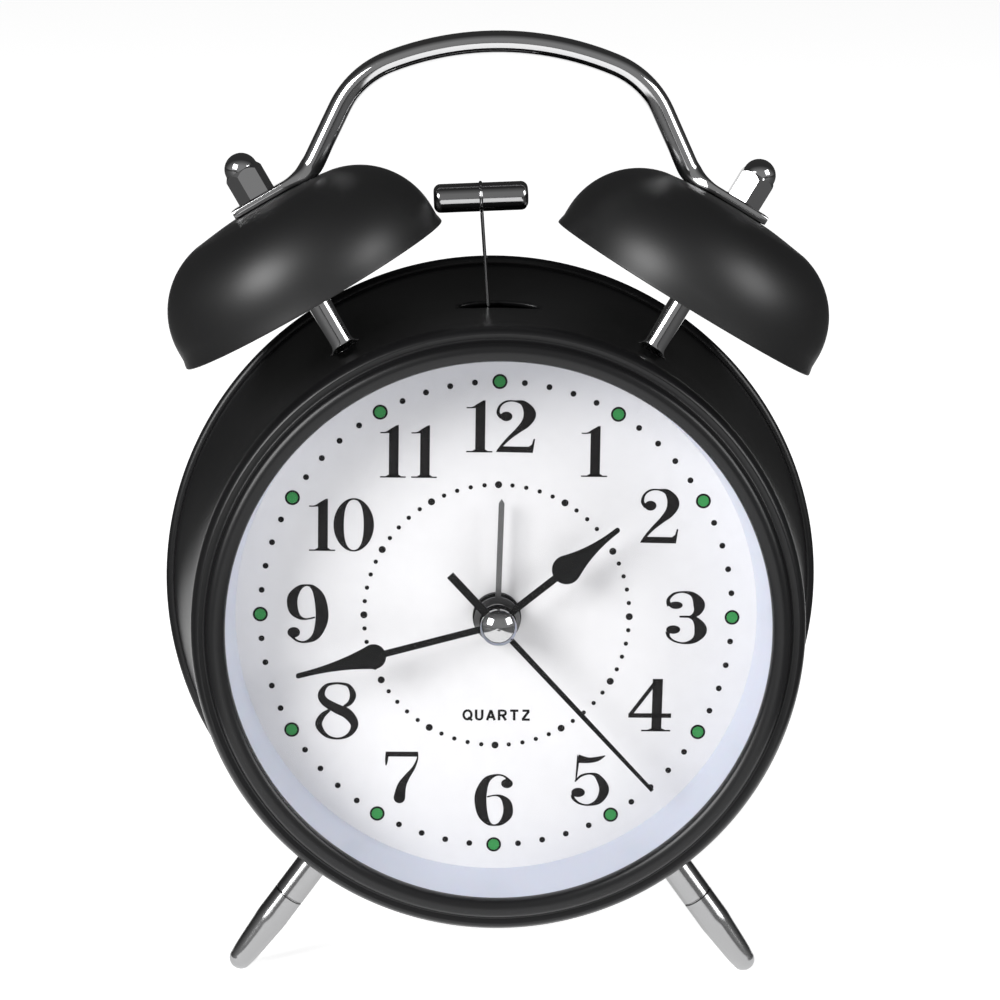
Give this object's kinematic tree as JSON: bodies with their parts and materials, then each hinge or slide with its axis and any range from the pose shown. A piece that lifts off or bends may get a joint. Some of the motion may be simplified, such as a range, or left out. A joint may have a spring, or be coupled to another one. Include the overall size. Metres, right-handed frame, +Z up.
{
  "type": "alarm clock",
  "caption": "Round table clock with paired bells over a flared steel case, a swinging hammer between them, a carrying handle, splayed feet and a quartz movement.",
  "frame": {"origin": "middle of the footprint's bounding box, on the surface that the clock stands on", "axes": "+X to the right as seen from the front, -Y the way the dial faces, +Z up"},
  "size_m": [0.1164, 0.0612, 0.1576],
  "materials": {
    "case_paint": "satin black",
    "bell_paint": "matte black",
    "bright_chrome": "polished",
    "dark_chrome": "polished",
    "glass": "clear",
    "diffuser": "translucent satin",
    "dial_print": "matte white with printed numerals",
    "white_plastic": "moulded",
    "black_plastic": "moulded, fine texture",
    "grey_plastic": "moulded",
    "steel": "zinc plated",
    "black_hand": "gloss black",
    "silver_hand": "silver",
    "brass": "turned",
    "copper_wire": "enamelled winding",
    "circuit_green": "solder mask",
    "battery_sleeve": "printed sleeve, plain"
  },
  "bodies": {
    "clock": {"case_shell": "case_paint", "bezel": "case_paint", "lens": "glass", "dial_ring": "diffuser", "dial_plate": "dial_print", "dial_frame": "white_plastic", "back_cover": "black_plastic", "door_pin": "steel", "cover_screws": "steel", "left_bell": "bell_paint", "right_bell": "bell_paint", "bell_posts": "bright_chrome", "inner_nuts": "steel", "dome_nuts": "bright_chrome", "handle": "bright_chrome", "left_foot": "bright_chrome", "right_foot": "bright_chrome", "left_foot_tip": "bright_chrome", "right_foot_tip": "bright_chrome", "hammer_pin": "steel", "striker_bracket": "steel", "striker_motor": "steel", "movement_front": "white_plastic", "movement_rear": "white_plastic", "bush_nut": "black_hand", "movement_screws": "steel", "stator": "steel", "coil": "copper_wire", "circuit_board": "circuit_green", "led_board": "circuit_green", "upper_battery": "battery_sleeve", "lower_battery": "battery_sleeve", "battery_springs": "steel", "battery_plates": "steel"},
    "battery_door": {"battery_door": "black_plastic"},
    "hammer": {"hammer_head": "dark_chrome", "hammer_wire": "steel", "hammer_lever": "steel"},
    "striker_cam": {"striker_cam": "white_plastic"},
    "alarm_setting": {"alarm_hand": "silver_hand", "alarm_wheel": "grey_plastic"},
    "alarm_knob": {"alarm_knob": "black_plastic"},
    "hour": {"hour_hand": "black_hand", "hour_wheel": "white_plastic"},
    "minute": {"minute_hand": "black_hand", "centre_wheel": "brass"},
    "time_setting": {"minute_wheel": "white_plastic", "time_knob": "black_plastic"},
    "third": {"third_wheel": "brass"},
    "second": {"second_hand": "black_hand", "second_wheel": "white_plastic", "centre_cap": "bright_chrome"},
    "intermediate": {"intermediate_wheel": "white_plastic"},
    "rotor": {"rotor": "steel"},
    "alarm_switch": {"alarm_switch": "grey_plastic"},
    "light_button": {"light_button": "grey_plastic"}
  },
  "joints": [
    {"name": "battery_door", "type": "hinge", "parent": "clock", "child": "battery_door", "pos_m": [0, 0.02116, 0.01539], "axis": [-1, 0, 0], "range_deg": [0, 95]},
    {"name": "hammer", "type": "hinge", "parent": "clock", "child": "hammer", "pos_m": [0, 0.0017, 0.08779], "axis": [0, 0.9968, -0.0802], "range_deg": [0, 8.8]},
    {"name": "striker_cam", "type": "hinge", "parent": "clock", "child": "striker_cam", "pos_m": [0, 0.00106, 0.07981], "axis": [0, 0.9968, -0.0802], "continuous": true},
    {"name": "alarm_hand", "type": "hinge", "parent": "clock", "child": "alarm_setting", "pos_m": [0, -0.01052, 0.06068], "axis": [0, 0.9968, -0.0802], "continuous": true},
    {"name": "alarm_knob", "type": "hinge", "parent": "clock", "child": "alarm_knob", "pos_m": [0.01132, 0.02482, 0.06338], "axis": [0, 0.9968, -0.0802], "continuous": true},
    {"name": "hour_hand", "type": "hinge", "parent": "clock", "child": "hour", "pos_m": [0, -0.01052, 0.06068], "axis": [0, 0.9968, -0.0802], "continuous": true},
    {"name": "minute_hand", "type": "hinge", "parent": "clock", "child": "minute", "pos_m": [0, -0.01052, 0.06068], "axis": [0, 0.9968, -0.0802], "continuous": true},
    {"name": "time_knob", "type": "hinge", "parent": "clock", "child": "time_setting", "pos_m": [-0.0094, 0.02465, 0.06128], "axis": [0, 0.9968, -0.0802], "continuous": true},
    {"name": "third_wheel", "type": "hinge", "parent": "clock", "child": "third", "pos_m": [-0.00296, -0.0012, 0.05178], "axis": [0, 0.9968, -0.0802], "continuous": true},
    {"name": "second_hand", "type": "hinge", "parent": "clock", "child": "second", "pos_m": [0, -0.01052, 0.06068], "axis": [0, 0.9968, -0.0802], "continuous": true},
    {"name": "intermediate_wheel", "type": "hinge", "parent": "clock", "child": "intermediate", "pos_m": [0.00375, 0.00192, 0.05316], "axis": [0, 0.9968, -0.0802], "continuous": true},
    {"name": "rotor", "type": "hinge", "parent": "clock", "child": "rotor", "pos_m": [0.00964, 0.00065, 0.04985], "axis": [0, 0.9968, -0.0802], "continuous": true},
    {"name": "alarm_switch", "type": "slide", "parent": "clock", "child": "alarm_switch", "axis": [1, 0, 0], "range_m": [0, 0.0032]},
    {"name": "light_button", "type": "slide", "parent": "clock", "child": "light_button", "axis": [0, -0.9968, 0.0802], "range_m": [0, 0.0012], "stiffness_N_per_m": 300, "springref_m": -0.0006}
  ],
  "couplings": [
    {"joint": "alarm_hand", "follows": "alarm_knob", "ratio": -0.2},
    {"joint": "minute_hand", "follows": "second_hand", "ratio": 0.016667},
    {"joint": "hour_hand", "follows": "second_hand", "ratio": 0.0013889},
    {"joint": "time_knob", "follows": "second_hand", "ratio": -0.0055556},
    {"joint": "third_wheel", "follows": "second_hand", "ratio": -0.125},
    {"joint": "intermediate_wheel", "follows": "second_hand", "ratio": -4},
    {"joint": "rotor", "follows": "second_hand", "ratio": 30}
  ]
}
